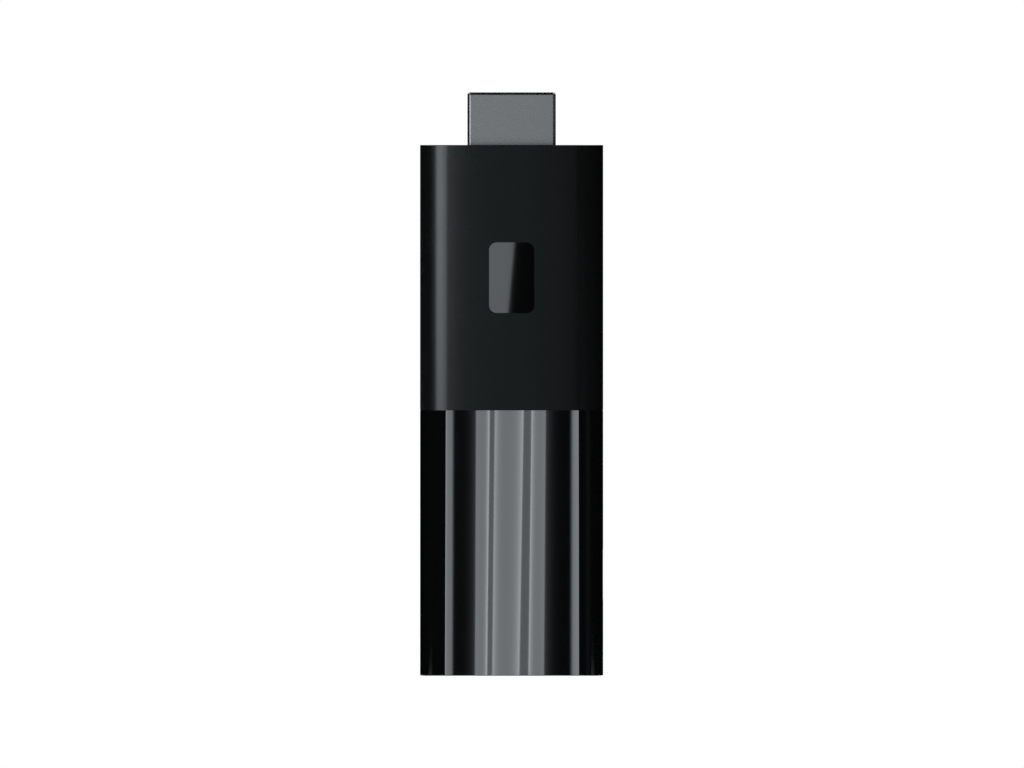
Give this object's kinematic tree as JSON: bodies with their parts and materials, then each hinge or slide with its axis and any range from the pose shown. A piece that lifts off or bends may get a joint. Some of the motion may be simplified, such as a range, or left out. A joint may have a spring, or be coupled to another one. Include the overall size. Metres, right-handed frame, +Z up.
{
  "type": "streaming stick",
  "caption": "Upright tubular media stick with a matte upper and gloss lower sleeve, a blank badge, a metal video plug on top and a small power port in the side.",
  "frame": {"origin": "middle of the tail end, in the plane of the lower sleeve's rim, which the stick stands on", "axes": "+Z up the stick towards the plug, -Y out of the badged front, +X towards the power port"},
  "size_m": [0.0288, 0.0144, 0.0918],
  "materials": {
    "matte_case": "fine matte moulded plastic, near black",
    "gloss_case": "polished black moulded plastic",
    "badge_gloss": "blank polished dark plate",
    "adhesive_film": "translucent double sided film",
    "frame_plastic": "black moulded plastic",
    "screw_steel": "zinc plated steel",
    "board_laminate": "dark green solder mask on laminate",
    "plug_steel": "satin nickel plated steel",
    "port_steel": "satin nickel plated steel",
    "insulator_black": "black glass filled moulding",
    "contact_gold": "gold plated copper alloy",
    "gasket_foam": "conductive fabric over foam",
    "shield_tin": "tin plated steel",
    "chip_resin": "black moulded resin with a dull face",
    "thermal_silicone": "grey blue filled silicone",
    "spreader_alloy": "die cast alloy, bead blasted",
    "radio_laminate": "blue solder mask on laminate",
    "antenna_alloy": "stamped nickel silver",
    "ferrite_grey": "pressed ferrite",
    "capacitor_yellow": "moulded body with tinned ends",
    "capacitor_tan": "fired ceramic with tinned ends",
    "resistor_black": "glazed ceramic with tinned ends",
    "crystal_can": "welded metal lid"
  },
  "bodies": {
    "root": {"upper_sleeve": "matte_case", "lower_sleeve": "gloss_case", "plug_cap": "matte_case", "tail_cap": "gloss_case", "badge_plate": "badge_gloss", "badge_adhesive": "adhesive_film", "inner_frame": "frame_plastic", "frame_screws": "screw_steel", "circuit_board": "board_laminate", "plug_shell": "plug_steel", "plug_insulator": "insulator_black", "plug_contacts_front": "contact_gold", "plug_contacts_rear": "contact_gold", "plug_gasket": "gasket_foam", "port_shell": "port_steel", "port_insulator": "insulator_black", "port_contacts": "contact_gold", "front_shield_frame": "shield_tin", "front_shield_lid": "shield_tin", "rear_shield_frame": "shield_tin", "rear_shield_lid": "shield_tin", "processor": "chip_resin", "memory_chips": "chip_resin", "storage_chip": "chip_resin", "power_manager": "chip_resin", "main_crystal": "crystal_can", "processor_thermal_pad": "thermal_silicone", "memory_thermal_pads": "thermal_silicone", "storage_thermal_pad": "thermal_silicone", "front_gap_pad": "thermal_silicone", "rear_gap_pad": "thermal_silicone", "front_heat_spreader": "spreader_alloy", "radio_module_board": "radio_laminate", "radio_module_can": "shield_tin", "main_antenna": "antenna_alloy", "side_antenna": "antenna_alloy", "power_inductors": "ferrite_grey", "voltage_converters": "chip_resin", "bulk_capacitors": "capacitor_yellow", "ceramic_capacitors": "capacitor_tan", "chip_resistors": "resistor_black", "signal_filters": "ferrite_grey", "surge_arrays": "chip_resin", "input_fuse": "capacitor_tan"}
  },
  "joints": []
}
